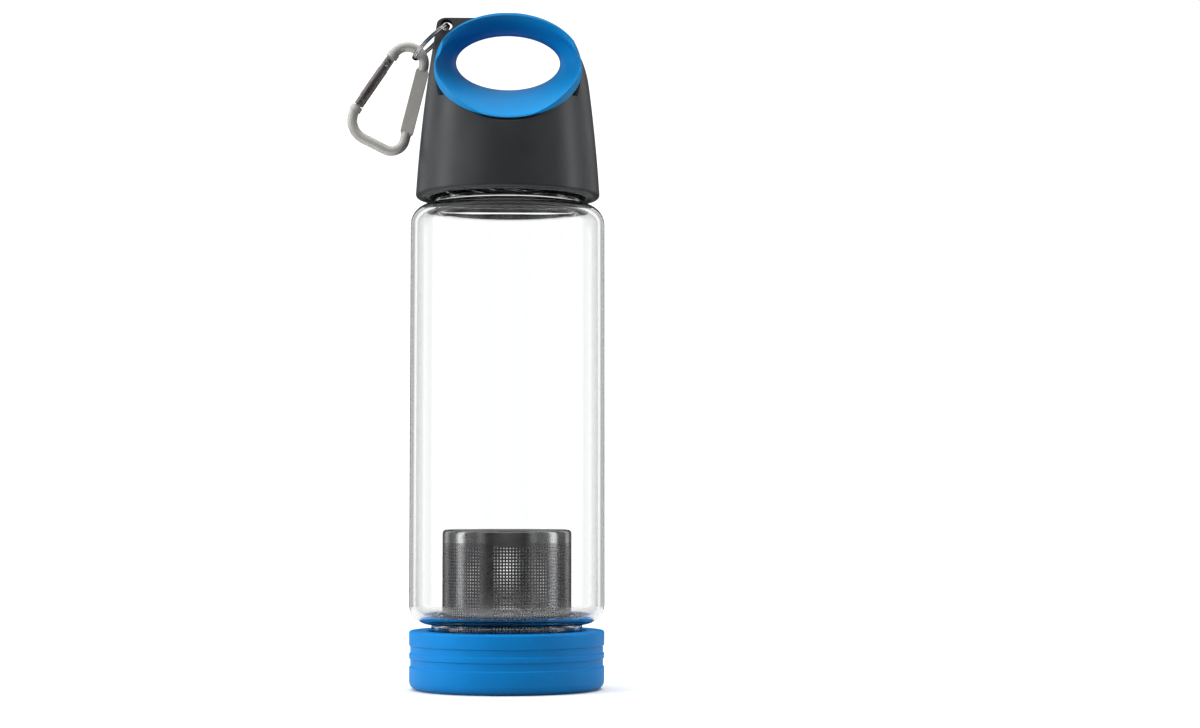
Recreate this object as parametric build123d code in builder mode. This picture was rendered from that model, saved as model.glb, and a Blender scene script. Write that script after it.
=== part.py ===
from build123d import *

import math
import os

# Glass water bottle with a screw base that holds a tea infuser, and a screw lid
# with a finger loop, a split ring and a small snap hook.
# Millimetres. +Z is up, the origin is the centre of the base's underside, and the
# front of the bottle faces -Y. The hook hangs on the -X side.

# Glass
GLASS_R = 35.0
GLASS_WALL = 2.2
SHOULDER_LOW_Z = 23.2
SHOULDER_TOP_Z = 174.0
SHOULDER_R = 7.25
NECK_R = 27.0
LIP_LOW_Z = 7.0
LIP_TOP_Z = 190.0
NECK_BORE_R = NECK_R - GLASS_WALL

# Screw threads, the same on both necks
PITCH = 4.0
THREAD_TURNS = 2.0
THREAD_DEPTH = 1.0
THREAD_ROOT = 0.9  # half width where the ridge leaves the wall
THREAD_CREST = 0.45
THREAD_SINK = 0.3  # how far a ridge is sunk in its wall
SOCKET_R = NECK_R + THREAD_DEPTH + 0.35
LOW_THREAD_Z = 8.5
TOP_THREAD_Z = 178.0

# Base cup
BASE_R = 34.95
BASE_RIM_Z = 21.0
BASE_FLOOR_Z = 5.0
BASE_BAND_R = 34.9
BASE_RECESS_R = 34.5
BASE_STEP = 0.25  # height of the slope at each edge of a band
FOOT_TOP_Z = 8.2
RIB_LOW_Z = 11.0
RIB_TOP_Z = 13.0
RIM_BAND_LOW_Z = 15.6
FOOT_ROUNDING = 3.2
FOOT_GROOVE = (19.0, 28.0)
FOOT_GROOVE_DEPTH = 0.9

# Seals
SEAL_BORE_R = NECK_BORE_R + 0.1
BASE_SEAL_R = 26.9
LID_SEAL_R = 28.0
LID_SEAL_T = 2.0

# Infuser
INFUSER_R = 23.15
INFUSER_SKIN = 0.5
INFUSER_FLANGE_R = 24.4
INFUSER_SEAL_T = 1.0
INFUSER_COLLAR_TOP_Z = 10.0
INFUSER_CAP_LOW_Z = 52.3
INFUSER_TOP_Z = 57.0

# Lid
LID_RIM_Z = 176.3
LID_TOP_Z = 242.0
LID_RIM_R = 33.3
LID_WAIST = (30.8, 205.5)  # radius and height of a point on the tapering side
LID_HIGH = (25.5, 242.6)
FACET_LOW = (31.2, 200.0)  # half depth and height where the front facet leaves the side
FACET_HIGH = (9.0, 242.5)
LINER_R = 30.2
LINER_ROOF_Z = LIP_TOP_Z + LID_SEAL_T
LINER_ROOF_T = 1.7
LID_RIM_ROUNDING = 1.5
POCKET_R = 24.0  # hollow above the liner's roof
POCKET_DEPTH = 5.0

# Front outline of the lid above its full-width part, in X and Z
FULL_WIDTH_TOP_Z = 216.9
RIGHT_SHOULDER = ((29.35, 216.9), (27.6, 223.2), (24.65, 228.5))
EAR_LEFT_X = -26.2
EAR_ROUNDING = 3.6
EAR_SECTION = ((17.0, 211.0), (4.6, 236.0), (2.6, 243.0))  # half depth and height

# Finger hole and its grip
LIP_OVAL = (26.5, 20.75)
LIP_OVAL_Z = 221.85
OUTLINE_OVAL = (26.1, 20.2)
GRIP_SKIN = 1.5
GRIP_PROUD = 0.7
GRIP_LIP_Y = 7.8
HOLE_HALF_X = 18.9
HOLE_LOW_Z = 216.1
HOLE_TOP_Z = 236.1
FLARE_TOP_R = 12.1
FLARE_TOP_Y = 10.0
FLARE_LOW_Y = 30.0
FLARE_DROP = 16.0
FLARE_DROP_START = 0.16
# How much wider the hole's half width is at each share of the way out of the lid
FLARE_WIDENING = {0.0: 0.0, 0.12: 0.25, 0.25: 1.2, 0.4: 3.4, 0.5: 5.6, 0.75: 6.9, 1.0: 7.1, 1.2: 7.2}

# Ear and split ring
EAR_HOLE = (-22.3, 239.2)
EAR_HOLE_R = 2.2
RING_R = 8.5
RING_WIRE = 1.3
RING_COIL_T = 0.74
RING_SLIP = 0.55
RING_FAR = (-34.0, 227.65)

# Snap hook: outline corners of its wire's centre line, in X and Z
ROD_R = 1.8
HOOK_TOP_CORNER = (-22.4, 257.3)
HOOK_HEEL_CORNER = (-38.9, 191.4)
HOOK_TOE_CORNER = (-59.9, 202.0)
HOOK_RADII = [5.98, 5.0, 7.5]
GATE_START = (-41.35, 229.2)
GATE_DIR = (-0.5609, -0.8279)
STUB_END = 1.8
NOSE_END = 23.3
COLLAR_R = 2.1
COLLAR_T = 1.9
SPINE_WIDTH = 4.6
SPINE_T = 2.6
SPINE_LOW_Z = 199.5
SPINE_TOP_Z = 223.5

# Gate, measured along the gate's line from GATE_START
GATE_R = 1.8
GATE_BORE_R = 1.2
GATE_TOP = 2.9
GATE_LOW = 22.7
RIVET_AT = 4.7
RIVET_R = 0.6
LATCH_AT = 20.6
LATCH_IN = 0.4
LATCH_R = 0.4
LATCH_BORE_TOP = 18.6
LATCH_SLOT_TOP = 19.0
BLADE_TOP = 19.6
BLADE_WIDTH = 2.0
BLADE_T = 1.3
TONGUE_WIDTH = 3.0
TONGUE_T = 1.5
TONGUE_SLOT_LOW = 7.0
TONGUE_SLOT_T = 1.9
BLADE_SLOT_T = 1.8
NOTCH_ROOM = 0.2  # clearance of the latch pin in its notch
RIVET_ROOM = 0.05
RIVET_HEAD_R = 0.98
RIVET_HEAD_SEAT_R = 1.0
PLUNGER_TOP = 6.4
PLUNGER_R = 1.1
SPRING_SPAN = (8.2, 13.6)
SPRING_WIRE_R = 0.22
SPRING_COIL_R = 0.85
SPRING_PITCH = 0.9

os.makedirs("parts", exist_ok=True)


def save(part, name):
    part.label = name
    export_step(part, f"parts/{name}.step")


def tube(outer_r, inner_r, low_z, top_z):
    with BuildPart() as ring:
        with BuildSketch(Plane.XY.offset(low_z)):
            Circle(outer_r)
            Circle(inner_r, mode=Mode.SUBTRACT)
        extrude(amount=top_z - low_z)
    return ring.part


def thread(wall_r, start_z, outward):
    """A helical ridge on a round wall, pointing outward or inward."""
    sink = -THREAD_SINK * outward
    tip = THREAD_DEPTH * outward
    with BuildPart() as ridge:
        with BuildLine() as path:
            Helix(PITCH, PITCH * THREAD_TURNS, wall_r, center=(0, 0, start_z))
        with BuildSketch(Plane(path.line @ 0, x_dir=(1, 0, 0), z_dir=path.line % 0)):
            with BuildLine():
                Polyline(
                    (sink, -THREAD_ROOT),
                    (tip, -THREAD_CREST),
                    (tip, THREAD_CREST),
                    (sink, THREAD_ROOT),
                    close=True,
                )
            make_face()
        sweep(path=path.line, is_frenet=True)
    return ridge.part


# ---------------------------------------------------------------- glass body
def glass_body():
    inner_r = GLASS_R - GLASS_WALL
    with BuildPart() as glass:
        with BuildSketch(Plane.XZ) as profile:
            with BuildLine():
                Polyline(
                    (NECK_BORE_R, LIP_LOW_Z),
                    (NECK_R, LIP_LOW_Z),
                    (NECK_R, SHOULDER_LOW_Z),
                    (GLASS_R, SHOULDER_LOW_Z),
                    (GLASS_R, SHOULDER_TOP_Z),
                    (NECK_R, SHOULDER_TOP_Z),
                    (NECK_R, LIP_TOP_Z),
                    (NECK_BORE_R, LIP_TOP_Z),
                    (NECK_BORE_R, SHOULDER_TOP_Z - GLASS_WALL),
                    (inner_r, SHOULDER_TOP_Z - GLASS_WALL),
                    (inner_r, SHOULDER_LOW_Z + GLASS_WALL),
                    (NECK_BORE_R, SHOULDER_LOW_Z + GLASS_WALL),
                    close=True,
                )
            make_face()
            corners = profile.vertices()
            outer = corners.filter_by(lambda v: abs(v.X - GLASS_R) < 0.01)
            inner = corners.filter_by(lambda v: abs(v.X - inner_r) < 0.01)
            lips = corners.filter_by(lambda v: v.Y < LIP_LOW_Z + 0.1 or v.Y > LIP_TOP_Z - 0.1)
            fillet(outer, SHOULDER_R)
            fillet(inner, SHOULDER_R - GLASS_WALL)
            fillet(lips, 0.8)
            roots = profile.vertices().filter_by(
                lambda v: abs(v.X - NECK_R) < 0.01
                and min(abs(v.Y - SHOULDER_LOW_Z), abs(v.Y - SHOULDER_TOP_Z)) < 0.01
            )
            fillet(roots, 0.6)
        revolve(axis=Axis.Z)
        add(thread(NECK_R, LOW_THREAD_Z + PITCH / 2, 1))
        add(thread(NECK_R, TOP_THREAD_Z, 1))
    save(glass.part, "glass_body")


# ------------------------------------------------------------------ base cup
def base_cup():
    outline = [
        (0, 0),
        (FOOT_GROOVE[0], 0),
        (FOOT_GROOVE[0] + 1, FOOT_GROOVE_DEPTH),
        (FOOT_GROOVE[1] - 1, FOOT_GROOVE_DEPTH),
        (FOOT_GROOVE[1], 0),
        (BASE_BAND_R, 0),
        (BASE_BAND_R, FOOT_TOP_Z),
        (BASE_RECESS_R, FOOT_TOP_Z + BASE_STEP),
        (BASE_RECESS_R, RIB_LOW_Z),
        (BASE_BAND_R, RIB_LOW_Z + BASE_STEP),
        (BASE_BAND_R, RIB_TOP_Z),
        (BASE_RECESS_R, RIB_TOP_Z + BASE_STEP),
        (BASE_RECESS_R, RIM_BAND_LOW_Z),
        (BASE_R, RIM_BAND_LOW_Z + BASE_STEP),
        (BASE_R, BASE_RIM_Z),
        (SOCKET_R, BASE_RIM_Z),
        (SOCKET_R, BASE_FLOOR_Z),
        (0, BASE_FLOOR_Z),
    ]
    with BuildPart() as base:
        with BuildSketch(Plane.XZ) as profile:
            with BuildLine():
                Polyline(*outline, close=True)
            make_face()
            corners = profile.vertices()
            foot = corners.filter_by(lambda v: v.Y < 0.01 and v.X > BASE_BAND_R - 0.1)
            rim = corners.filter_by(lambda v: v.Y > BASE_RIM_Z - 0.1)
            fillet(foot, FOOT_ROUNDING)
            fillet(rim, 0.8)
        revolve(axis=Axis.Z)
        add(thread(SOCKET_R, LOW_THREAD_Z, -1))
    save(base.part, "base_cup")


# --------------------------------------------------------------------- seals
def seals():
    save(tube(BASE_SEAL_R, SEAL_BORE_R, BASE_FLOOR_Z, LIP_LOW_Z), "base_gasket")
    save(tube(LID_SEAL_R, SEAL_BORE_R, LIP_TOP_Z, LINER_ROOF_Z), "lid_gasket")


# ------------------------------------------------------------------- infuser
def infuser():
    inner_r = INFUSER_R - INFUSER_SKIN
    flange_z = BASE_FLOOR_Z + INFUSER_SEAL_T
    save(tube(INFUSER_FLANGE_R, inner_r - 0.4, BASE_FLOOR_Z, flange_z), "infuser_seal")

    with BuildPart() as rim:
        with BuildSketch(Plane.XZ) as profile:
            with BuildLine():
                Polyline(
                    (inner_r, flange_z),
                    (INFUSER_FLANGE_R, flange_z),
                    (INFUSER_FLANGE_R, flange_z + 0.8),
                    (INFUSER_R, flange_z + 0.8),
                    (INFUSER_R, INFUSER_COLLAR_TOP_Z),
                    (inner_r, INFUSER_COLLAR_TOP_Z),
                    close=True,
                )
            make_face()
            edge = profile.vertices().filter_by(lambda v: v.X > INFUSER_FLANGE_R - 0.1)
            fillet(edge, 0.35)
        revolve(axis=Axis.Z)
    save(rim.part, "infuser_rim")

    save(tube(INFUSER_R, inner_r, INFUSER_COLLAR_TOP_Z, INFUSER_CAP_LOW_Z), "infuser_wall")

    with BuildPart() as cap:
        with BuildSketch(Plane.XZ) as profile:
            with BuildLine():
                Polyline(
                    (inner_r, INFUSER_CAP_LOW_Z),
                    (INFUSER_R, INFUSER_CAP_LOW_Z),
                    (INFUSER_R, INFUSER_TOP_Z),
                    (0, INFUSER_TOP_Z),
                    (0, INFUSER_TOP_Z - INFUSER_SKIN),
                    (inner_r, INFUSER_TOP_Z - INFUSER_SKIN),
                    close=True,
                )
            make_face()
            corners = profile.vertices()
            outer = corners.filter_by(lambda v: v.X > INFUSER_R - 0.1 and v.Y > INFUSER_TOP_Z - 0.1)
            inner = corners.filter_by(
                lambda v: abs(v.X - inner_r) < 0.01 and v.Y > INFUSER_CAP_LOW_Z + 0.1
            )
            fillet(outer, 1.4)
            fillet(inner, 0.9)
        revolve(axis=Axis.Z)
    save(cap.part, "infuser_cap")


# ----------------------------------------------------------------- lid forms
def lid_form(grow):
    """The lid's outer form: a tapering round side, cut by a sloping front and back."""
    with BuildPart() as form:
        with BuildSketch(Plane.XZ) as side:
            with BuildLine():
                Line((0, LID_RIM_Z), (LID_RIM_R + grow, LID_RIM_Z))
                ThreePointArc(
                    (LID_RIM_R + grow, LID_RIM_Z),
                    (LID_WAIST[0] + grow, LID_WAIST[1]),
                    (LID_HIGH[0] + grow, LID_HIGH[1]),
                )
                Line((LID_HIGH[0] + grow, LID_HIGH[1]), (0, LID_HIGH[1]))
                Line((0, LID_HIGH[1]), (0, LID_RIM_Z))
            make_face()
            fillet(side.vertices().sort_by(Axis.X)[-1], LID_RIM_ROUNDING)
        revolve(axis=Axis.Z)
        with BuildSketch(Plane.YZ):
            with BuildLine():
                low_y = LID_RIM_R + 10
                facet_y = FACET_LOW[0] + grow
                high_y = FACET_HIGH[0] + grow
                Polyline(
                    (-low_y, LID_RIM_Z),
                    (-low_y, FACET_LOW[1]),
                    (-facet_y, FACET_LOW[1]),
                    (-high_y, FACET_HIGH[1]),
                    (high_y, FACET_HIGH[1]),
                    (facet_y, FACET_LOW[1]),
                    (low_y, FACET_LOW[1]),
                    (low_y, LID_RIM_Z),
                    close=True,
                )
            make_face()
        extrude(amount=LID_RIM_R + 10, both=True, mode=Mode.INTERSECT)
    return form.part


def oval_bar(half_x, half_z):
    with BuildPart() as bar:
        with BuildSketch(Plane.XZ):
            with Locations((0, LIP_OVAL_Z)):
                Ellipse(half_x, half_z)
        extrude(amount=LID_RIM_R + 10, both=True)
    return bar.part


def flared_hole(skin):
    """The finger hole, narrow at its middle and flared to both faces of the lid.

    Each section is an oval in a tilted plane. Its top and bottom lie at steps
    along the flare, from the waist out past the lid's face.
    """
    with BuildPart() as hole:
        for reach, wider in FLARE_WIDENING.items():
            along = FLARE_TOP_Y * min(reach, 1.0)
            top_rise = FLARE_TOP_R - math.sqrt(FLARE_TOP_R**2 - along**2)
            low_drop = FLARE_DROP * reach * reach / (reach + FLARE_DROP_START)
            top = Vector(0, -FLARE_TOP_Y * reach, HOLE_TOP_Z + top_rise + skin)
            low = Vector(0, -FLARE_LOW_Y * reach, HOLE_LOW_Z - low_drop - skin)
            upward = top - low
            tilted = Plane((top + low) / 2, x_dir=(1, 0, 0), z_dir=Vector(1, 0, 0).cross(upward))
            with BuildSketch(tilted):
                Ellipse(HOLE_HALF_X + wider + skin, upward.length / 2)
        loft()
        mirror(about=Plane.XZ)
    return hole.part


def lid_shell():
    form = lid_form(0)
    tunnel = flared_hole(GRIP_SKIN)
    lip_bar = oval_bar(LIP_OVAL[0] - 0.2, LIP_OVAL[1] - 0.2)
    depth = LID_RIM_R + 10

    # The front outline: straight sides, a rounded right shoulder, an oval top, and a
    # flat-topped ear at the left.
    with BuildPart() as outline:
        with BuildSketch(Plane.XZ):
            with Locations((0, (LID_RIM_Z + FULL_WIDTH_TOP_Z) / 2)):
                Rectangle(2 * depth, FULL_WIDTH_TOP_Z - LID_RIM_Z + 0.1)
            with Locations((0, LIP_OVAL_Z)):
                Ellipse(*OUTLINE_OVAL)
            with BuildLine():
                low, middle, high = RIGHT_SHOULDER
                ThreePointArc(low, middle, high)
                Polyline(high, (0, high[1]), (0, low[1]), low)
            make_face()
            with BuildLine():
                ear_side_z = LID_TOP_Z - EAR_ROUNDING
                ear_top_x = EAR_LEFT_X + EAR_ROUNDING
                Line((0, FULL_WIDTH_TOP_Z), (0, LID_TOP_Z))
                Line((0, LID_TOP_Z), (ear_top_x, LID_TOP_Z))
                RadiusArc((ear_top_x, LID_TOP_Z), (EAR_LEFT_X, ear_side_z), -EAR_ROUNDING)
                Polyline(
                    (EAR_LEFT_X, ear_side_z),
                    (-depth, ear_side_z),
                    (-depth, FULL_WIDTH_TOP_Z),
                    (0, FULL_WIDTH_TOP_Z),
                )
            make_face()
        extrude(amount=depth, both=True)

    # Outside the grip's oval the loop thins towards the ear.
    with BuildPart() as thinning:
        with BuildSketch(Plane.YZ):
            for side in (-1, 1):
                inner = [(side * half, height) for half, height in EAR_SECTION]
                with BuildLine():
                    Polyline(
                        *inner,
                        (side * depth, EAR_SECTION[-1][1]),
                        (side * depth, EAR_SECTION[0][1]),
                        close=True,
                    )
                make_face()
        extrude(amount=depth, both=True)
        add(lip_bar, mode=Mode.SUBTRACT)

    with BuildPart() as shell:
        add(form)
        add(outline.part, mode=Mode.INTERSECT)
        add(thinning.part, mode=Mode.SUBTRACT)
        add(tunnel, mode=Mode.SUBTRACT)
        with BuildSketch(Plane.XY.offset(LID_RIM_Z)):
            Circle(LINER_R + 0.05)
        extrude(amount=LINER_ROOF_Z + LINER_ROOF_T - LID_RIM_Z, mode=Mode.SUBTRACT)
        with BuildSketch(Plane.XY.offset(LINER_ROOF_Z + LINER_ROOF_T)):
            Circle(POCKET_R)
        extrude(amount=POCKET_DEPTH, mode=Mode.SUBTRACT)
        with BuildSketch(Plane.XZ):
            with Locations(EAR_HOLE):
                Circle(EAR_HOLE_R)
        extrude(amount=depth, both=True, mode=Mode.SUBTRACT)
    save(shell.part, "lid_shell")


def grip_ring():
    with BuildPart() as lips:
        add(lid_form(GRIP_PROUD))
        add(oval_bar(*LIP_OVAL), mode=Mode.INTERSECT)
        add(lid_form(0), mode=Mode.SUBTRACT)
        with BuildSketch(Plane.XZ):
            with Locations((0, LIP_OVAL_Z)):
                Rectangle(60, 60)
        extrude(amount=GRIP_LIP_Y, both=True, mode=Mode.SUBTRACT)
    with BuildPart() as grip:
        add(lid_form(0))
        add(flared_hole(GRIP_SKIN), mode=Mode.INTERSECT)
        add(oval_bar(*OUTLINE_OVAL), mode=Mode.INTERSECT)
        add(lips.part)
        add(flared_hole(0), mode=Mode.SUBTRACT)
    save(grip.part, "grip_ring")


def lid_liner():
    with BuildPart() as liner:
        with BuildSketch(Plane.XY.offset(LID_RIM_Z + 0.3)):
            Circle(LINER_R)
        extrude(amount=LINER_ROOF_Z + LINER_ROOF_T - LID_RIM_Z - 0.3)
        with BuildSketch(Plane.XY.offset(LID_RIM_Z + 0.3)):
            Circle(SOCKET_R)
        extrude(amount=LINER_ROOF_Z - LID_RIM_Z - 0.3, mode=Mode.SUBTRACT)
        add(thread(SOCKET_R, TOP_THREAD_Z + PITCH / 2, -1))
    save(liner.part, "lid_liner")


# ---------------------------------------------------------------- split ring
def split_ring():
    hole = Vector(EAR_HOLE[0], 0, EAR_HOLE[1])
    far = Vector(RING_FAR[0], 0, RING_FAR[1])
    along = (hole - far).normalized()
    centre = hole + along * (RING_SLIP - RING_R)
    flat = Plane(centre, x_dir=along, z_dir=along.cross(Vector(0, 1, 0)))
    with BuildPart() as ring:
        with BuildSketch(Plane(centre, x_dir=along, z_dir=(0, 1, 0))):
            for coil in (-1, 1):
                with Locations((RING_R, coil * (RING_COIL_T / 2 - 0.02))):
                    RectangleRounded(RING_WIRE, RING_COIL_T, 0.3)
        revolve(axis=Axis(centre, flat.z_dir))
    save(ring.part, "split_ring")


# ----------------------------------------------------------------- snap hook
def gate_point(distance, inward=0.0):
    """A point on the gate's line, or beside it towards the inside of the hook."""
    return Vector(
        GATE_START[0] + GATE_DIR[0] * distance - GATE_DIR[1] * inward,
        0,
        GATE_START[1] + GATE_DIR[1] * distance + GATE_DIR[0] * inward,
    )


def gate_plane(distance):
    """A plane across the gate's line; its X points inward and its Y along the hook's depth."""
    inward = gate_point(0, 1) - gate_point(0)
    along = Vector(GATE_DIR[0], 0, GATE_DIR[1])
    return Plane(gate_point(distance), x_dir=inward, z_dir=along)


def side_plane():
    """The hook's own plane; X runs along the gate's line and Y points inward."""
    along = Vector(GATE_DIR[0], 0, GATE_DIR[1])
    inward = gate_point(0, 1) - gate_point(0)
    return Plane(gate_point(0), x_dir=along, z_dir=along.cross(inward))


def carabiner_body():
    stub = gate_point(STUB_END)
    nose = gate_point(NOSE_END)
    spine_dir = Vector(
        HOOK_TOP_CORNER[0] - HOOK_HEEL_CORNER[0], 0, HOOK_TOP_CORNER[1] - HOOK_HEEL_CORNER[1]
    ).normalized()
    spine_mid_z = (SPINE_LOW_Z + SPINE_TOP_Z) / 2
    spine_run = (spine_mid_z - HOOK_HEEL_CORNER[1]) / spine_dir.Z
    spine_mid = Vector(HOOK_HEEL_CORNER[0], 0, HOOK_HEEL_CORNER[1]) + spine_dir * spine_run
    spine_length = (SPINE_TOP_Z - SPINE_LOW_Z) / spine_dir.Z
    spine_plane = Plane(spine_mid, x_dir=spine_dir, z_dir=(0, 1, 0))
    with BuildPart() as hook:
        with BuildLine(Plane.XZ) as path:
            FilletPolyline(
                (stub.X, stub.Z),
                HOOK_TOP_CORNER,
                HOOK_HEEL_CORNER,
                HOOK_TOE_CORNER,
                (nose.X, nose.Z),
                radius=HOOK_RADII,
            )
        with BuildSketch(Plane(path.line @ 0, z_dir=path.line % 0)):
            Circle(ROD_R)
        sweep(path=path.line)
        # The spine is pressed flat, so it is wider and thinner than the wire.
        with BuildSketch(spine_plane):
            RectangleRounded(spine_length, SPINE_WIDTH, 1.2)
        extrude(amount=SPINE_T / 2, both=True)
        for side in (-1, 1):
            with BuildSketch(spine_plane.offset(side * (SPINE_T / 2 + 1))):
                Rectangle(spine_length - 1.6, SPINE_WIDTH + 2)
            extrude(amount=1, both=True, mode=Mode.SUBTRACT)
        # Collars where the gate meets the wire.
        with BuildSketch(gate_plane(STUB_END - COLLAR_T)):
            Circle(COLLAR_R)
        extrude(amount=COLLAR_T)
        with BuildSketch(gate_plane(NOSE_END)):
            Circle(COLLAR_R)
        extrude(amount=COLLAR_T)
        # Hinge tongue, with its rivet hole.
        with BuildSketch(side_plane()):
            with Locations(((STUB_END + RIVET_AT) / 2, 0)):
                Rectangle(RIVET_AT - STUB_END + 0.4, TONGUE_WIDTH)
            with Locations((RIVET_AT, 0)):
                Circle(TONGUE_WIDTH / 2)
                Circle(RIVET_R + RIVET_ROOM, mode=Mode.SUBTRACT)
        extrude(amount=TONGUE_T / 2, both=True)
        # Latch blade, with a notch that opens inward for the latch pin.
        with BuildSketch(side_plane()):
            with Locations(((BLADE_TOP + NOSE_END) / 2 + 0.2, 0)):
                Rectangle(NOSE_END - BLADE_TOP + 0.4, BLADE_WIDTH)
            notch_r = LATCH_R + NOTCH_ROOM
            with Locations((LATCH_AT, LATCH_IN)):
                Circle(notch_r, mode=Mode.SUBTRACT)
            with Locations((LATCH_AT, LATCH_IN + notch_r)):
                Rectangle(2 * notch_r, 2 * notch_r, mode=Mode.SUBTRACT)
        extrude(amount=BLADE_T / 2, both=True)
    save(hook.part, "carabiner_body")


def carabiner_gate():
    with BuildPart() as gate:
        with BuildSketch(gate_plane(GATE_TOP)):
            Circle(GATE_R)
        extrude(amount=GATE_LOW - GATE_TOP)
        with BuildSketch(gate_plane(GATE_TOP)):
            Circle(GATE_BORE_R)
        extrude(amount=SPRING_SPAN[1] - GATE_TOP, mode=Mode.SUBTRACT)
        with BuildSketch(gate_plane(LATCH_BORE_TOP)):
            Circle(GATE_BORE_R)
        extrude(amount=GATE_LOW - LATCH_BORE_TOP, mode=Mode.SUBTRACT)
        # Slot for the hinge tongue, right across the tube.
        with BuildSketch(side_plane()):
            with Locations(((GATE_TOP + TONGUE_SLOT_LOW) / 2 - 0.5, 0)):
                Rectangle(TONGUE_SLOT_LOW - GATE_TOP + 1.0, 3 * GATE_R)
        extrude(amount=TONGUE_SLOT_T / 2, both=True, mode=Mode.SUBTRACT)
        # Slot for the latch blade, open to the outer side and the end.
        with BuildSketch(side_plane()):
            with Locations(((LATCH_SLOT_TOP + GATE_LOW) / 2 + 0.5, -1.5)):
                Rectangle(GATE_LOW - LATCH_SLOT_TOP + 1.0, 3)
        extrude(amount=BLADE_SLOT_T / 2, both=True, mode=Mode.SUBTRACT)
        # Seats for the rivet and the latch pin.
        with BuildSketch(side_plane()):
            with Locations((RIVET_AT, 0)):
                Circle(RIVET_R)
            with Locations((LATCH_AT, LATCH_IN)):
                Circle(LATCH_R)
        extrude(amount=3, both=True, mode=Mode.SUBTRACT)
        for side in (-1, 1):
            with BuildSketch(side_plane().offset(side * 2.1)):
                with Locations((RIVET_AT, 0)):
                    Circle(RIVET_HEAD_SEAT_R)
            extrude(amount=0.5, both=True, mode=Mode.SUBTRACT)
    save(gate.part, "carabiner_gate")


def gate_small_parts():
    with BuildPart() as rivet:
        with BuildSketch(side_plane()):
            with Locations((RIVET_AT, 0)):
                Circle(RIVET_R)
        extrude(amount=1.7, both=True)
        for side in (-1, 1):
            with BuildSketch(side_plane().offset(side * 1.85)):
                with Locations((RIVET_AT, 0)):
                    Circle(RIVET_HEAD_R)
            extrude(amount=0.22, both=True)
        fillet(rivet.edges().filter_by(GeomType.CIRCLE).sort_by(Axis.Y)[0], 0.2)
        fillet(rivet.edges().filter_by(GeomType.CIRCLE).sort_by(Axis.Y)[-1], 0.2)
    save(rivet.part, "gate_rivet")

    with BuildPart() as pin:
        with BuildSketch(side_plane()):
            with Locations((LATCH_AT, LATCH_IN)):
                Circle(LATCH_R)
        extrude(amount=1.85, both=True)
    save(pin.part, "gate_latch_pin")

    with BuildPart() as plunger:
        with BuildSketch(gate_plane(PLUNGER_TOP)):
            Circle(PLUNGER_R)
        extrude(amount=SPRING_SPAN[0] - PLUNGER_TOP)
    save(plunger.part, "gate_plunger")

    end_room = SPRING_WIRE_R + 0.02
    with BuildPart() as spring:
        with BuildLine() as path:
            Helix(
                SPRING_PITCH,
                SPRING_SPAN[1] - SPRING_SPAN[0] - 2 * end_room,
                SPRING_COIL_R,
                center=gate_point(SPRING_SPAN[0] + end_room),
                direction=(GATE_DIR[0], 0, GATE_DIR[1]),
            )
        with BuildSketch(Plane(path.line @ 0, z_dir=path.line % 0)):
            Circle(SPRING_WIRE_R)
        sweep(path=path.line, is_frenet=True)
    save(spring.part, "gate_spring")


base_cup()
glass_body()
seals()
infuser()
lid_shell()
grip_ring()
lid_liner()
split_ring()
carabiner_body()
carabiner_gate()
gate_small_parts()
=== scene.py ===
import math

import bmesh
import bpy
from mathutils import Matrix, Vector


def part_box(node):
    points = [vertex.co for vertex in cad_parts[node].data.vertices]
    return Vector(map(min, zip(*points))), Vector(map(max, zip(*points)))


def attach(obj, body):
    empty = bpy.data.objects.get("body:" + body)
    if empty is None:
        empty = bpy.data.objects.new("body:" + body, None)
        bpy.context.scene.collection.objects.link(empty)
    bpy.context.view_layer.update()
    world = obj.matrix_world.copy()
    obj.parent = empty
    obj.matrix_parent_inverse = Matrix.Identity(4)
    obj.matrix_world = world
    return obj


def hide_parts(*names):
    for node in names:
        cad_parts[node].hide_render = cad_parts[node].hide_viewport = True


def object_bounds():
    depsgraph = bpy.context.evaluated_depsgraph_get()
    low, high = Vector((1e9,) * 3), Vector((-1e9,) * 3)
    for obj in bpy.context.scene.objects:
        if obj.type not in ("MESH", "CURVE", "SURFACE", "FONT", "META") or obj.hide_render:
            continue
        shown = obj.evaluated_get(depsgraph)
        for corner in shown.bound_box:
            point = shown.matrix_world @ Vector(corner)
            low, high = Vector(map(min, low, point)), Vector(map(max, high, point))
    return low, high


# Glass water bottle with a screw base, a tea infuser, a screw lid with a finger loop, a split
# ring and a snap hook. Metres. +Z is up, the front faces -Y and the hook hangs on the -X side.
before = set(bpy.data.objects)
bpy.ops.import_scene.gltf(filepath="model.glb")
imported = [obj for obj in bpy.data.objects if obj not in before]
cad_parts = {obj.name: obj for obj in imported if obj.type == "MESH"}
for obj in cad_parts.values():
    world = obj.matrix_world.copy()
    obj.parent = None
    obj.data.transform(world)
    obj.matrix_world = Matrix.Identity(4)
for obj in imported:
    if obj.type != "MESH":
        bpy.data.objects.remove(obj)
cad_low, cad_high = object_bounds()

MM = 0.001

# Camera
LENS_MM = 72.9
SENSOR_MM = 36.0
CAMERA_DISTANCE = 0.8755
CAMERA_HEIGHT = 0.0644
CAMERA_PITCH_DEG = 3.41
CAMERA_YAW_DEG = 2.185

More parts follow.
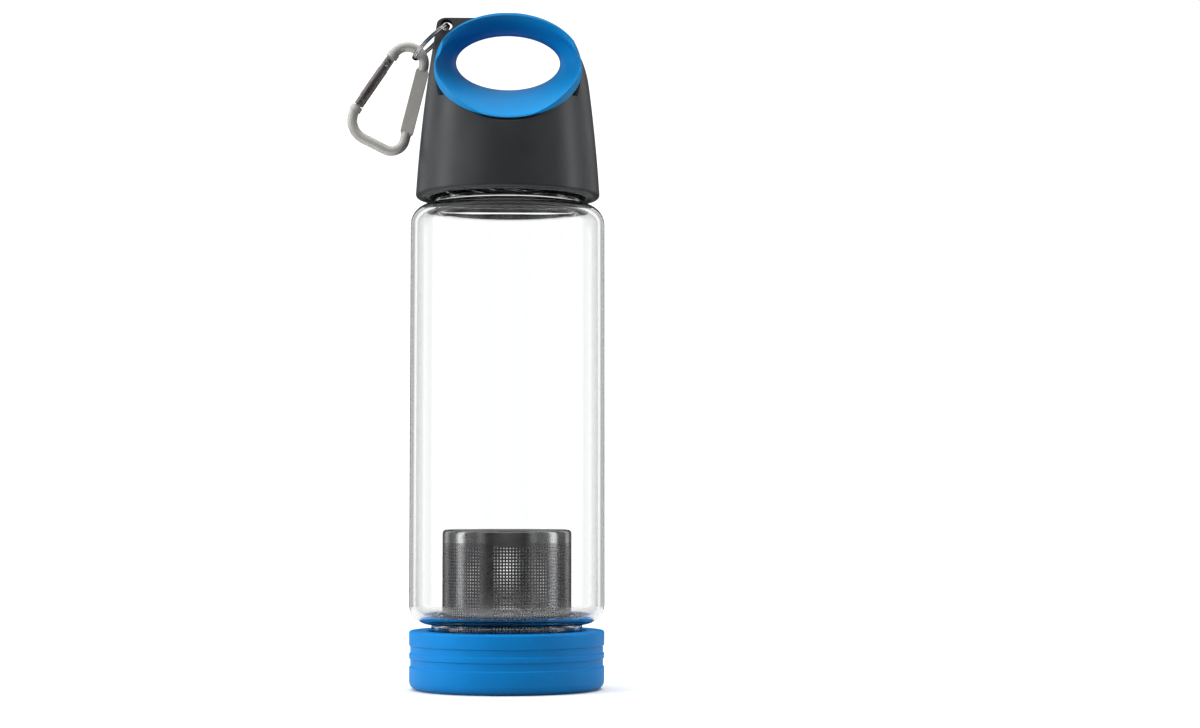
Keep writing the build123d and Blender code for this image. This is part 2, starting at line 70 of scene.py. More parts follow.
# Glass
GLASS_WALL = 2.2 * MM
GLASS_LIP = 0.8 * MM
GLASS_ROOT = 0.6 * MM
GLASS_BORE_ROOT = 1.5 * MM
GLASS_IOR = 1.47
GLASS_WAVE = 16 * MM
GLASS_WAVE_STRETCH = (1, 1, 0.35)
GLASS_WAVE_HEIGHT = 0.06 * MM
GLASS_TINT = (0.45, 0.50, 0.52, 1.0)
GLASS_TINT_DENSITY = 30.0
SHOULDER_R = 7.25 * MM
SHOULDER_LOW_Z = 23.2 * MM
SHOULDER_TOP_Z = 174.0 * MM
NECK_R = 27.0 * MM
GLASS_ROUND_STEPS = 224

# Screw threads, the same on both necks
PITCH = 4.0 * MM
THREAD_TURNS = 2.0
THREAD_DEPTH = 1.0 * MM
THREAD_HALF = 1.0 * MM
THREAD_TAPER_TURNS = 0.12
THREAD_STEP = 0.3 * MM
LOW_THREAD_Z = 10.5 * MM
TOP_THREAD_Z = 178.0 * MM

# Base cup
SOCKET_GAP = 0.35 * MM
SOCKET_R = NECK_R + THREAD_DEPTH + SOCKET_GAP
SOCKET_CORNER = 0.3 * MM
SOCKET_THREAD_Z = 8.5 * MM
BASE_FLOOR_Z = 5.0 * MM
BASE_RECESS_R = 34.5 * MM
BASE_BANDS_Z = (8.2 * MM, 11.0 * MM, 13.0 * MM, 15.6 * MM)
BASE_STEP = 0.25 * MM
BASE_EDGE = 0.25 * MM
BASE_LIP = 0.8 * MM
BAND_INSET = 0.05 * MM
FOOT_ROUNDING = 3.2 * MM
FOOT_GROOVE = (19.0 * MM, 28.0 * MM)
FOOT_GROOVE_DEPTH = 0.9 * MM
FOOT_GROOVE_SLOPE = 1.0 * MM
AXIS_GAP = 0.5 * MM
BASE_ROUND_STEPS = 256

# Infuser wall
HOLE_PITCH = 1.12 * MM
HOLE_R = 0.33 * MM
HOLE_CORNERS = 8
INFUSER_SKIN = 0.5 * MM
SEAM_ANGLE_DEG = -107.8
SEAM_COLUMNS = 4
# Painted light: the infuser wall's inside is painted pale and less metallic, standing in for the light
# it gathers through its holes
PAINTED_LIGHT_INSIDE_COLOUR = (0.92, 0.92, 0.92, 1.0)
PAINTED_LIGHT_INSIDE_METALLIC = 0.2

# Size of the slow colour and roughness spots on every solid material
SLOW_GRAIN = 14 * MM

# Floor: its half width, where it fades out, how white its paper is, and how much darker that
# is for light that bounces off it and for views through the glass
FLOOR_HALF = 0.5
FLOOR_FADE = (0.16, 0.42)
FLOOR_DROP = 0.02 * MM
FLOOR_GLOW = 0.05
PAPER_WHITE = 0.85
PAPER_BOUNCE_LOSS = 0.5
PAPER_REFRACTED_LOSS = 0.3

# Studio: brightness of the ring of panels, of its gaps, and of the parts of the room
PANELS = 8
SEEN_GAP = 0.70
SEEN_PANEL = 1.2
MIRRORED_GAP = 0.08
MIRRORED_FRONT = 0.10
MIRRORED_BACK = 0.12
MIRRORED_TABLE = 0.15
MIRRORED_CEILING = 0.6
LEFT_PANEL = 3.4
RIGHT_PANEL = 3.0

# Split ring
RING_SECTION = (1.26 * MM, 0.7 * MM)
RING_ROUNDING = 0.26 * MM
RING_COIL_LIFT = 0.36 * MM
RING_CUT_DEG = 150.0
RING_JOGGLE_DEG = 32.0
RING_STEP_DEG = 3.0
RING_TURN_DEG = 360.0
RING_EDGE_INSET = 0.65 * MM
EAR_HOLE = (-22.3 * MM, 0, 239.2 * MM)


# ------------------------------------------------------------------ mesh tools
def new_object(name, verts, faces, sharp_deg=40.0):
    """An object from points and faces, smooth but for edges sharper than sharp_deg."""
    mesh = bpy.data.meshes.new(name)
    mesh.from_pydata(verts, [], faces)
    work = bmesh.new()
    work.from_mesh(mesh)
    bmesh.ops.remove_doubles(work, verts=work.verts, dist=1e-7)
    bmesh.ops.recalc_face_normals(work, faces=work.faces)
    for face in work.faces:
        face.smooth = True
    limit = math.radians(sharp_deg)
    for edge in work.edges:
        edge.smooth = edge.calc_face_angle(0.0) < limit
    work.to_mesh(mesh)
    work.free()
    obj = bpy.data.objects.new(name, mesh)
    bpy.context.scene.collection.objects.link(obj)
    return obj


def rounded(corners, steps=6):
    """Rounds a closed outline. Each corner is (x, y, radius), and the result is plain points."""
    points = []
    count = len(corners)
    for index, (x, y, radius) in enumerate(corners):
        here = Vector((x, y))
        if radius <= 0:
            points.append(here)
            continue
        before = Vector(corners[index - 1][:2]) - here
        after = Vector(corners[(index + 1) % count][:2]) - here
        half = before.angle(after) / 2
        reach = radius / math.tan(half)
        middle = (before.normalized() + after.normalized()).normalized()
        centre = here + middle * (radius / math.sin(half))
        start = here + before.normalized() * reach - centre
        sweep = start.angle_signed(here + after.normalized() * reach - centre)
        for step in range(steps + 1):
            turn = -sweep * step / steps
            cos, sin = math.cos(turn), math.sin(turn)
            arm = Vector((start.x * cos - start.y * sin, start.x * sin + start.y * cos))
            points.append(centre + arm)
    return points


def threaded_wall(points, wall_r):
    """Adds points to a closed outline along the straight walls of radius wall_r."""
    result = []
    for index, here in enumerate(points):
        after = points[(index + 1) % len(points)]
        on_wall = abs(here.x - wall_r) < 1e-6 and abs(after.x - wall_r) < 1e-6
        parts = math.ceil((after - here).length / THREAD_STEP) if on_wall else 1
        result += [here.lerp(after, part / parts) for part in range(parts)]
    return result


def lathe(name, outline, round_steps, ridge=None):
    """Turns a closed outline of (radius, height) about Z. ridge(radius, height, angle) is a radius."""
    verts = []
    for step in range(round_steps):
        angle = 2 * math.pi * step / round_steps
        cos, sin = math.cos(angle), math.sin(angle)
        for radius, height in outline:
            wide = ridge(radius, height, angle) if ridge else radius
            verts.append((wide * cos, wide * sin, height))
    count = len(outline)
    faces = []
    for step in range(round_steps):
        here = step * count
        after = (step + 1) % round_steps * count
        for index in range(count):
            next_index = (index + 1) % count
            faces.append((here + index, after + index, after + next_index, here + next_index))
    return new_object(name, verts, faces)


def thread_height(height, angle, start_z):
    """How far a helical ridge stands out of its wall at a point, from 0 to THREAD_DEPTH."""
    share = angle / (2 * math.pi)
    turn = round((height - start_z) / PITCH - share)
    along = turn + share
    if not 0 <= along <= THREAD_TURNS:
        return 0.0
    away = abs(height - start_z - PITCH * along) / THREAD_HALF
    side = min(1.0, max(0.0, (1.0 - away) * 2.0))
    end = min(1.0, min(along, THREAD_TURNS - along) / THREAD_TAPER_TURNS)
    return THREAD_DEPTH * side * side * (3 - 2 * side) * math.sin(end * math.pi / 2)


# ------------------------------------------------------------------- the glass
def glass_piece():
    """The glass: one outline with a shoulder and a threaded neck at each end, turned about Z."""
    low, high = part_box("glass_body")
    radius = high.x
    inner = radius - GLASS_WALL
    bore = NECK_R - GLASS_WALL
    inner_shoulder = SHOULDER_R - GLASS_WALL
    inner_low_z = SHOULDER_LOW_Z + GLASS_WALL
    inner_top_z = SHOULDER_TOP_Z - GLASS_WALL
    outline = rounded(
        [
            (bore, low.z, GLASS_LIP),
            (NECK_R, low.z, GLASS_LIP),
            (NECK_R, SHOULDER_LOW_Z, GLASS_ROOT),
            (radius, SHOULDER_LOW_Z, SHOULDER_R),
            (radius, SHOULDER_TOP_Z, SHOULDER_R),
            (NECK_R, SHOULDER_TOP_Z, GLASS_ROOT),
            (NECK_R, high.z, GLASS_LIP),
            (bore, high.z, GLASS_LIP),
            (bore, inner_top_z, GLASS_BORE_ROOT),
            (inner, inner_top_z, inner_shoulder),
            (inner, inner_low_z, inner_shoulder),
            (bore, inner_low_z, GLASS_BORE_ROOT),
        ],
        steps=10,
    )

    def ridge(wide, height, angle):
        if abs(wide - NECK_R) > 1e-6:
            return wide
        low_ridge = thread_height(height, angle, LOW_THREAD_Z)
        return wide + low_ridge + thread_height(height, angle, TOP_THREAD_Z)

    outline = threaded_wall(outline, NECK_R)
    piece = lathe("glass_tube", outline, GLASS_ROUND_STEPS, ridge)
    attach(piece, "glass")
    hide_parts("glass_body")


# --------------------------------------------------------------- the base cup
def base_piece():
    """The base cup: foot band, rib and rim band outside, a threaded socket inside."""
    low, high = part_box("base_cup")
    radius = high.x
    band_r = radius - BAND_INSET
    foot_top, rib_low, rib_top, rim_low = BASE_BANDS_Z
    outline = rounded(
        [
            (AXIS_GAP, low.z, 0),
            (FOOT_GROOVE[0], low.z, BASE_EDGE),
            (FOOT_GROOVE[0] + FOOT_GROOVE_SLOPE, FOOT_GROOVE_DEPTH, BASE_EDGE),
            (FOOT_GROOVE[1] - FOOT_GROOVE_SLOPE, FOOT_GROOVE_DEPTH, BASE_EDGE),
            (FOOT_GROOVE[1], low.z, BASE_EDGE),
            (band_r, low.z, FOOT_ROUNDING),
            (band_r, foot_top, BASE_EDGE),
            (BASE_RECESS_R, foot_top + BASE_STEP, BASE_EDGE / 2),
            (BASE_RECESS_R, rib_low, BASE_EDGE / 2),
            (band_r, rib_low + BASE_STEP, BASE_EDGE),
            (band_r, rib_top, BASE_EDGE),
            (BASE_RECESS_R, rib_top + BASE_STEP, BASE_EDGE / 2),
            (BASE_RECESS_R, rim_low, BASE_EDGE / 2),
            (radius, rim_low + BASE_STEP, BASE_EDGE),
            (radius, high.z, BASE_LIP),
            (SOCKET_R, high.z, BASE_LIP),
            (SOCKET_R, BASE_FLOOR_Z, SOCKET_CORNER),
            (AXIS_GAP, BASE_FLOOR_Z, 0),
        ],
        steps=5,
    )

    def ridge(wide, height, angle):
        if abs(wide - SOCKET_R) > 1e-6:
            return wide
        return wide - thread_height(height, angle, SOCKET_THREAD_Z)

    outline = threaded_wall(outline, SOCKET_R)
    piece = lathe("base_moulding", outline, BASE_ROUND_STEPS, ridge)
    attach(piece, "base")
    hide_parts("base_cup")


# ----------------------------------------------------------- the infuser wall
def skin_faces(grid, holes, columns, rows, flip):
    """Faces of one skin: a plain cell is one quad, and a cell with a hole is eight faces."""
    faces = []
    for column in range(columns):
        after = (column + 1) % columns
        for row in range(rows):
            a, b = grid[column][row], grid[after][row]
            d, e = grid[after][row + 1], grid[column][row + 1]
            hole = holes.get((column, row))
            if hole is None:
                faces.append((a, b, d, e))
                continue
            for side, (start, end) in enumerate(((b, d), (d, e), (e, a), (a, b))):
                low = hole[(2 * side - 1) % HOLE_CORNERS]
                high = hole[(2 * side) % HOLE_CORNERS]
                faces.append((start, end, high, low))
                faces.append((end, hole[(2 * side + 1) % HOLE_CORNERS], high))
    return [tuple(reversed(face)) for face in faces] if flip else faces


def skin_points(verts, wall_r, hole_span_r, columns, heights, plain):
    """Adds one skin's points to verts. Gives its grid of points and its rings of hole corners."""

    def add(angle, height):
        verts.append((wall_r * math.cos(angle), wall_r * math.sin(angle), height))
        return len(verts) - 1

    step = 2 * math.pi / columns
    grid = [[add(column * step, height) for height in heights] for column in range(columns)]
    holes = {}
    for column in range(columns):
        if column in plain:
            continue
        for row in range(1, len(heights) - 2):
            centre_angle = (column + 0.5) * step
            centre_z = (heights[row] + heights[row + 1]) / 2
            ring = []
            for corner in range(HOLE_CORNERS):
                turn = 2 * math.pi * (corner + 0.5) / HOLE_CORNERS
                offset = HOLE_R * math.cos(turn) / hole_span_r
                ring.append(add(centre_angle + offset, centre_z + HOLE_R * math.sin(turn)))
            holes[(column, row)] = ring
    return grid, holes


def perforated_wall():
    """The infuser's wall: two skins, joined round each hole and at both ends."""
    low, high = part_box("infuser_wall")
    radius = high.x
    columns = round(2 * math.pi * radius / HOLE_PITCH)
    hole_rows = int((high.z - low.z) / HOLE_PITCH) - 1
    margin = (high.z - low.z - hole_rows * HOLE_PITCH) / 2
    heights = [low.z + margin + row * HOLE_PITCH for row in range(hole_rows + 1)]
    heights = [low.z] + heights + [high.z]
    rows = len(heights) - 1
    seam = round(SEAM_ANGLE_DEG / 360 * columns) % columns
    plain = {(seam + shift - SEAM_COLUMNS // 2) % columns for shift in range(SEAM_COLUMNS)}
    verts = []
    outer_grid, outer_holes = skin_points(verts, radius, radius, columns, heights, plain)
    inner_r = radius - INFUSER_SKIN
    inner_grid, inner_holes = skin_points(verts, inner_r, radius, columns, heights, plain)
    faces = skin_faces(outer_grid, outer_holes, columns, rows, False)
    faces += skin_faces(inner_grid, inner_holes, columns, rows, True)
    for cell, ring in outer_holes.items():
        inner = inner_holes[cell]
        for corner in range(HOLE_CORNERS):
            after = (corner + 1) % HOLE_CORNERS
            faces.append((ring[corner], ring[after], inner[after], inner[corner]))
    for column in range(columns):
        after = (column + 1) % columns
        for row in (0, rows):
            outer_edge = (outer_grid[column][row], outer_grid[after][row])
            inner_edge = (inner_grid[after][row], inner_grid[column][row])
            faces.append(outer_edge + inner_edge)
    piece = new_object("infuser_mesh", verts, faces)
    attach(piece, "infuser")
    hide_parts("infuser_wall")


# -------------------------------------------------------------- the split ring
def split_ring_piece():
    """One flat wire wound twice. It steps from the lower coil to the upper one by its cut ends."""
    low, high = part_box("split_ring")
    centre = (low + high) / 2
    along = (Vector(EAR_HOLE) - centre).normalized()
    across = Vector((0, 1, 0))
    axis = along.cross(across)
    coil_r = high.y - RING_EDGE_INSET
    half_wide, half_thick = RING_SECTION[0] / 2, RING_SECTION[1] / 2
    section = rounded(
        [
            (-half_wide, -half_thick, RING_ROUNDING),
            (half_wide, -half_thick, RING_ROUNDING),
            (half_wide, half_thick, RING_ROUNDING),
            (-half_wide, half_thick, RING_ROUNDING),
        ],
        steps=3,
    )
    sweep = 2 * RING_TURN_DEG - RING_JOGGLE_DEG
    steps = round(sweep / RING_STEP_DEG)
    verts = []
    faces = []
    for step in range(steps + 1):
        degrees = RING_JOGGLE_DEG + sweep * step / steps
        rise = min(1.0, max(0.0, (degrees - RING_TURN_DEG) / RING_JOGGLE_DEG))
        layer = RING_COIL_LIFT * (2 * rise * rise * (3 - 2 * rise) - 1)
        turn = math.radians(degrees + RING_CUT_DEG)
        outward = along * math.cos(turn) + across * math.sin(turn)
        middle = centre + outward * coil_r + axis * layer
        verts += [middle + outward * point.x + axis * point.y for point in section]
    count = len(section)
    for step in range(steps):
        for index in range(count):
            here = step * count + index
            beside = step * count + (index + 1) % count
            faces.append((here, beside, beside + count, here + count))
    faces.append(tuple(range(count)))
    faces.append(tuple(range(steps * count, (steps + 1) * count)))
    piece = new_object("ring_coil", verts, faces, sharp_deg=50.0)
    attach(piece, "split_ring")
    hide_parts("split_ring")


# ------------------------------------------------------------------- materials
def link_value(tree, value, socket):
    """Sets a socket to a number, or links an output to it."""
    if isinstance(value, (int, float)):
        socket.default_value = value
    else:
        tree.links.new(value, socket)


def maths(tree, operation, first, second=0.0):
    node = tree.nodes.new("ShaderNodeMath")
    node.operation = operation
    link_value(tree, first, node.inputs[0])
    link_value(tree, second, node.inputs[1])
    return node.outputs[0]


def span(tree, value, from_low, from_high, to_low, to_high):
    """Maps value smoothly from one range to another."""
    node = tree.nodes.new("ShaderNodeMapRange")
    node.interpolation_type = "SMOOTHSTEP"
    tree.links.new(value, node.inputs["Value"])
    node.inputs["From Min"].default_value = from_low
    node.inputs["From Max"].default_value = from_high
    node.inputs["To Min"].default_value = to_low
    node.inputs["To Max"].default_value = to_high
    return node.outputs["Result"]


def noise(tree, grain, stretch=(1, 1, 1), detail=3.0):
    """A noise whose spots are about grain across, in the piece's own coordinates."""
    place = tree.nodes.new("ShaderNodeTexCoord")
    scale = tree.nodes.new("ShaderNodeVectorMath")
    scale.operation = "MULTIPLY"
    scale.inputs[1].default_value = [s / grain for s in stretch]
    tree.links.new(place.outputs["Object"], scale.inputs[0])
    node = tree.nodes.new("ShaderNodeTexNoise")
    node.inputs["Scale"].default_value = 1.0
    node.inputs["Detail"].default_value = detail
    tree.links.new(scale.outputs[0], node.inputs["Vector"])
    return node.outputs["Fac"]


def colour_sockets(sockets):
    """A Mix node has sockets for every type. These are the ones for colours."""
    return [socket for socket in sockets if socket.type == "RGBA"]


def blend_colours(tree, share, first, second):
    node = tree.nodes.new("ShaderNodeMix")
    node.data_type = "RGBA"
    link_value(tree, share, node.inputs["Factor"])
    for socket, colour in zip(colour_sockets(node.inputs), (first, second)):
        socket.default_value = (*colour, 1)
    return colour_sockets(node.outputs)[0]


def surface(name, colours, roughness, grain, bump, stretch=(1, 1, 1), **sockets):
    """A material whose colour, roughness and height vary with a fine and a slow noise.

    colours and roughness are each a low and a high value, grain is the size of the fine
    spots and bump their height. What is left goes straight on the shader's sockets.
    """
    material = bpy.data.materials.new(name)
    material.use_nodes = True
    tree = material.node_tree
    shader = tree.nodes["Principled BSDF"]
    fine = noise(tree, grain, stretch)
    slow = noise(tree, SLOW_GRAIN, detail=2.0)
    colour_share = span(tree, maths(tree, "ADD", fine, slow), 0.7, 1.3, 0.0, 1.0)
    tree.links.new(blend_colours(tree, colour_share, *colours), shader.inputs["Base Color"])
    mixed = maths(tree, "ADD", maths(tree, "MULTIPLY", fine, 0.5), maths(tree, "MULTIPLY", slow, 0.5))
    tree.links.new(span(tree, mixed, 0.35, 0.65, *roughness), shader.inputs["Roughness"])
    raised = tree.nodes.new("ShaderNodeBump")
    raised.inputs["Strength"].default_value = 1.0
    raised.inputs["Distance"].default_value = bump
    tree.links.new(fine, raised.inputs["Height"])
    tree.links.new(raised.outputs["Normal"], shader.inputs["Normal"])
    for socket, value in sockets.items():
        shader.inputs[socket.replace("_", " ")].default_value = value
    return material


def paint_light_inside(material, radius):
    """Paints a metal pale and less metallic within radius of the Z axis: painted light on the wall's
    inside, standing in for the light it gathers through its holes.
    """
    tree = material.node_tree
    shader = tree.nodes["Principled BSDF"]
    outside = shader.inputs["Base Color"].links[0].from_socket
    place = tree.nodes.new("ShaderNodeTexCoord")
    split = tree.nodes.new("ShaderNodeSeparateXYZ")
    tree.links.new(place.outputs["Object"], split.inputs[0])
    square_x = maths(tree, "MULTIPLY", split.outputs[0], split.outputs[0])
    square_y = maths(tree, "MULTIPLY", split.outputs[1], split.outputs[1])
    inside = maths(tree, "LESS_THAN", maths(tree, "ADD", square_x, square_y), radius * radius)
    node = tree.nodes.new("ShaderNodeMix")
    node.data_type = "RGBA"
    first, second = colour_sockets(node.inputs)
    tree.links.new(inside, node.inputs["Factor"])
    tree.links.new(outside, first)
    second.default_value = PAINTED_LIGHT_INSIDE_COLOUR
    tree.links.new(colour_sockets(node.outputs)[0], shader.inputs["Base Color"])
    loss = maths(tree, "MULTIPLY", inside, 1.0 - PAINTED_LIGHT_INSIDE_METALLIC)
    tree.links.new(maths(tree, "SUBTRACT", 1.0, loss), shader.inputs["Metallic"])


def clear_glass():
    """Clear glass, slightly uneven, that takes a little light out of long paths through it."""
    material = bpy.data.materials.new("clear_glass")
    material.use_nodes = True
    tree = material.node_tree
    shader = tree.nodes["Principled BSDF"]
    output = tree.nodes["Material Output"]
    shader.inputs["Base Color"].default_value = (1.0, 1.0, 1.0, 1.0)
    shader.inputs["Transmission Weight"].default_value = 1.0
    shader.inputs["IOR"].default_value = GLASS_IOR
    shader.inputs["Roughness"].default_value = 0.0
    wave = noise(tree, GLASS_WAVE, GLASS_WAVE_STRETCH, detail=1.0)
    raised = tree.nodes.new("ShaderNodeBump")
    raised.inputs["Strength"].default_value = 0.25
    raised.inputs["Distance"].default_value = GLASS_WAVE_HEIGHT
    tree.links.new(wave, raised.inputs["Height"])
    tree.links.new(raised.outputs["Normal"], shader.inputs["Normal"])
    paths = tree.nodes.new("ShaderNodeLightPath")
    through = tree.nodes.new("ShaderNodeBsdfTransparent")
    through.inputs["Color"].default_value = (0.93, 0.95, 0.95, 1.0)
    choose = tree.nodes.new("ShaderNodeMixShader")
    tree.links.new(paths.outputs["Is Shadow Ray"], choose.inputs["Fac"])
    tree.links.new(shader.outputs["BSDF"], choose.inputs[1])
    tree.links.new(through.outputs["BSDF"], choose.inputs[2])
    tree.links.new(choose.outputs["Shader"], output.inputs["Surface"])
    tint = tree.nodes.new("ShaderNodeVolumeAbsorption")
    tint.inputs["Color"].default_value = GLASS_TINT
    tint.inputs["Density"].default_value = GLASS_TINT_DENSITY
    tree.links.new(tint.outputs["Volume"], output.inputs["Volume"])
    return material


def dress(materials):
    """Gives every CAD node that still shows, and every new piece, its material."""
    for name, material in materials.items():
        obj = bpy.data.objects[name]
        if not obj.material_slots:
            obj.data.materials.append(material)
        for entry in obj.material_slots:
            entry.material = material


def all_materials():
    grey = surface(
        "charcoal_plastic",
        ((0.030, 0.032, 0.035), (0.040, 0.042, 0.046)),
        (0.34, 0.46),
        0.22 * MM,
        0.012 * MM,
    )
    liner = surface(
        "liner_plastic_fine",
        ((0.018, 0.019, 0.021), (0.028, 0.029, 0.031)),
        (0.25, 0.4),
        0.3 * MM,
        0.006 * MM,
    )
    blue = surface(
        "blue_base_plastic",
        ((0.001, 0.205, 0.58), (0.002, 0.235, 0.65)),
        (0.46, 0.58),
        0.3 * MM,
        0.006 * MM,
        Specular_IOR_Level=0.2,
    )
    grip = surface(
        "blue_grip_rubber",
        ((0.001, 0.20, 0.49), (0.003, 0.23, 0.56)),
        (0.40, 0.52),
        0.18 * MM,
        0.008 * MM,
        Specular_IOR_Level=0.25,
    )
    silicone = surface(
        "clear_silicone",
        ((0.62, 0.64, 0.65), (0.74, 0.76, 0.77)),
        (0.35, 0.5),
        0.4 * MM,
        0.01 * MM,
        Transmission_Weight=0.35,
        IOR=1.41,
    )
    infuser = surface(
        "etched_steel_painted_light_inside",
        ((0.14, 0.14, 0.145), (0.20, 0.20, 0.20)),
        (0.16, 0.24),
        2.0 * MM,
        0.0005 * MM,
        Metallic=1.0,
    )
    # Painted light: the infuser wall's inside is painted pale, for the light gathered inside it
    paint_light_inside(infuser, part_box("infuser_wall")[1].x - INFUSER_SKIN / 2)
    cap = surface(
        "brushed_steel",
        ((0.26, 0.26, 0.27), (0.34, 0.34, 0.34)),
        (0.14, 0.22),
        4.0 * MM,
        0.0005 * MM,
        stretch=(1, 1, 6),
        Metallic=1.0,
    )
    nickel = surface(
        "bright_nickel",
        ((0.60, 0.59, 0.58), (0.72, 0.71, 0.70)),
        (0.06, 0.14),
        0.5 * MM,
        0.001 * MM,
        Metallic=1.0,
    )
    aluminium = surface(
        "satin_aluminium",
        ((0.52, 0.51, 0.48), (0.60, 0.59, 0.56)),
        (0.36, 0.46),
        0.5 * MM,
        0.001 * MM,
        Metallic=0.25,
    )
    gate = surface(
        "dark_polished_steel",
        ((0.40, 0.36, 0.35), (0.50, 0.46, 0.45)),
        (0.22, 0.32),
        3.0 * MM,
        0.0004 * MM,
        Metallic=1.0,
    )
    return {
        "glass_tube": clear_glass(),
        "base_moulding": blue,
        "infuser_mesh": infuser,
        "ring_coil": nickel,
        "lid_shell": grey,
        "lid_liner": liner,
        "grip_ring": grip,
        "base_gasket": silicone,
        "lid_gasket": silicone,
        "infuser_seal": silicone,
        "infuser_cap": cap,
        "infuser_rim": cap,
        "carabiner_body": aluminium,
        "carabiner_gate": gate,
        "gate_rivet": nickel,
        "gate_latch_pin": nickel,
        "gate_spring": nickel,
        "gate_plunger": nickel,
    }


# ---------------------------------------------------------------- the setting
def build_camera():
    data = bpy.data.cameras.new("camera")
    data.lens = LENS_MM
    data.sensor_width = SENSOR_MM
    data.clip_start = 0.01
    data.clip_end = 50.0
    obj = bpy.data.objects.new("camera", data)
    obj.location = (0, -CAMERA_DISTANCE, CAMERA_HEIGHT)
    obj.rotation_euler = (
        math.radians(90 + CAMERA_PITCH_DEG),
        0,
        math.radians(-CAMERA_YAW_DEG),
    )
    bpy.context.scene.collection.objects.link(obj)
    bpy.context.scene.camera = obj


def build_world():
    """A ring of tall white panels with darker gaps between them.

    The camera sees plain white, and so do views through the glass but for a little grey in
    the gaps. Reflections and bounced light see dark gaps, bright panels at the sides, and a
    dark room in front, behind and below.
    """
    world = bpy.data.worlds.new("studio")
    bpy.context.scene.world = world
    world.use_nodes = True
    tree = world.node_tree
    tree.nodes.clear()
    paths = tree.nodes.new("ShaderNodeLightPath")
    place = tree.nodes.new("ShaderNodeTexCoord")
    split = tree.nodes.new("ShaderNodeSeparateXYZ")
    tree.links.new(place.outputs["Generated"], split.inputs[0])
    x, y, z = split.outputs
    around = maths(tree, "MULTIPLY", maths(tree, "ARCTAN2", y, x), PANELS)
    ring = maths(tree, "COSINE", around)
    seen_through = span(tree, ring, -1.0, -0.3, SEEN_GAP, SEEN_PANEL)
    walls = span(tree, ring, 0.0, 0.9, MIRRORED_GAP, 1.0)
    front = span(tree, y, -0.95, -0.35, MIRRORED_FRONT, 1.0)
    back = span(tree, y, 0.70, 0.95, 1.0, MIRRORED_BACK)
    left = span(tree, x, -0.97, -0.75, LEFT_PANEL, 1.0)
    right = span(tree, x, 0.75, 0.97, 1.0, RIGHT_PANEL)
    table = span(tree, z, -0.12, 0.0, MIRRORED_TABLE, 1.0)
    below_ceiling = span(tree, z, 0.45, 0.8, 1.0, 0.0)
    for factor in (front, back, left, right, table, below_ceiling):
        walls = maths(tree, "MULTIPLY", walls, factor)
    ceiling = span(tree, z, 0.45, 0.8, 0.0, MIRRORED_CEILING)
    reflected = maths(tree, "ADD", ceiling, walls)
    # Light that bounces only inside one wall of the glass has crossed one or two surfaces, and
    # counts as seen through it.
    crossed = paths.outputs["Transmission Depth"]
    past_first = maths(tree, "GREATER_THAN", crossed, 0.5)
    one_wall = maths(tree, "MULTIPLY", past_first, maths(tree, "LESS_THAN", crossed, 2.5))
    bounced = maths(tree, "MINIMUM", paths.outputs["Glossy Depth"], 1.0)
    bounced = maths(tree, "MULTIPLY", bounced, maths(tree, "SUBTRACT", 1.0, one_wall))
    mirrored = maths(tree, "MAXIMUM", bounced, paths.outputs["Is Diffuse Ray"])
    choice = tree.nodes.new("ShaderNodeMix")
    tree.links.new(mirrored, choice.inputs["Factor"])
    tree.links.new(seen_through, choice.inputs["A"])
    tree.links.new(reflected, choice.inputs["B"])
    background = tree.nodes.new("ShaderNodeBackground")
    background.inputs["Color"].default_value = (1.0, 1.0, 1.0, 1.0)
    strength = maths(tree, "MAXIMUM", choice.outputs[0], paths.outputs["Is Camera Ray"])
    tree.links.new(strength, background.inputs["Strength"])
    output = tree.nodes.new("ShaderNodeOutputWorld")
    tree.links.new(background.outputs[0], output.inputs["Surface"])


def softbox(name, location, size, power, target=(0, 0, 0.12)):
    """A rectangular light that points at target, and is never seen itself."""
    data = bpy.data.lights.new(name, "AREA")
    data.shape = "RECTANGLE"
    data.size, data.size_y = size
    data.energy = power
    obj = bpy.data.objects.new(name, data)
    obj.location = location
    obj.rotation_euler = (Vector(target) - Vector(location)).to_track_quat("-Z", "Y").to_euler()
    obj.visible_camera = False
    obj.visible_transmission = False
    obj.visible_glossy = False
    bpy.context.scene.collection.objects.link(obj)


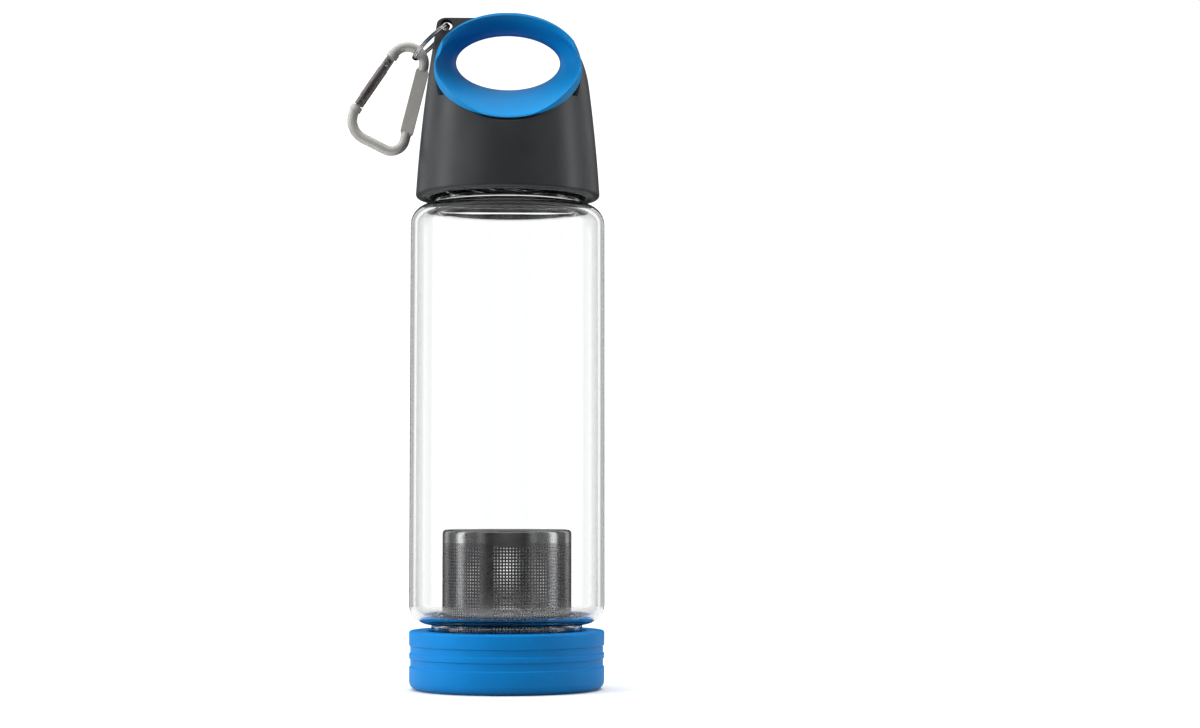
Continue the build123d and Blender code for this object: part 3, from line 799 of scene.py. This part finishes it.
def build_floor():
    """White paper under the bottle, which fades into the backdrop further off."""
    half = FLOOR_HALF
    verts = [(-half, -half, 0), (half, -half, 0), (half, half, 0), (-half, half, 0)]
    floor = new_object("floor", verts, [(0, 1, 2, 3)])
    floor.location.z = cad_low.z - FLOOR_DROP
    material = bpy.data.materials.new("white_floor")
    material.use_nodes = True
    tree = material.node_tree
    tree.nodes.clear()
    place = tree.nodes.new("ShaderNodeTexCoord")
    length = tree.nodes.new("ShaderNodeVectorMath")
    length.operation = "LENGTH"
    tree.links.new(place.outputs["Object"], length.inputs[0])
    far = span(tree, length.outputs["Value"], *FLOOR_FADE, 0.0, 1.0)
    paths = tree.nodes.new("ShaderNodeLightPath")
    paper = tree.nodes.new("ShaderNodeBsdfDiffuse")
    bounce_loss = maths(tree, "MULTIPLY", paths.outputs["Is Diffuse Ray"], PAPER_BOUNCE_LOSS)
    glass_loss = maths(tree, "MULTIPLY", paths.outputs["Is Transmission Ray"], PAPER_REFRACTED_LOSS)
    white = maths(tree, "SUBTRACT", PAPER_WHITE, maths(tree, "ADD", bounce_loss, glass_loss))
    tree.links.new(white, paper.inputs["Color"])
    glow = tree.nodes.new("ShaderNodeEmission")
    seen = maths(tree, "SUBTRACT", 1.0, paths.outputs["Is Diffuse Ray"])
    tree.links.new(maths(tree, "MULTIPLY", seen, FLOOR_GLOW), glow.inputs["Strength"])
    lit = tree.nodes.new("ShaderNodeAddShader")
    tree.links.new(paper.outputs[0], lit.inputs[0])
    tree.links.new(glow.outputs[0], lit.inputs[1])
    gone = tree.nodes.new("ShaderNodeBsdfTransparent")
    choose = tree.nodes.new("ShaderNodeMixShader")
    tree.links.new(far, choose.inputs["Fac"])
    tree.links.new(lit.outputs[0], choose.inputs[1])
    tree.links.new(gone.outputs[0], choose.inputs[2])
    output = tree.nodes.new("ShaderNodeOutputMaterial")
    tree.links.new(choose.outputs[0], output.inputs["Surface"])
    floor.data.materials.append(material)


def build_setting():
    build_camera()
    build_world()
    build_floor()
    softbox("overhead", (0, 0.1, 0.95), (0.9, 0.9), 10.0)
    softbox("left", (-0.75, -0.35, 0.35), (0.5, 0.8), 6.0)
    softbox("right", (0.80, -0.15, 0.35), (0.4, 0.8), 1.2)
    settings = bpy.context.scene.view_settings
    settings.view_transform = "Standard"
    settings.look = "None"


build_setting()
glass_piece()
base_piece()
perforated_wall()
split_ring_piece()
dress(all_materials())
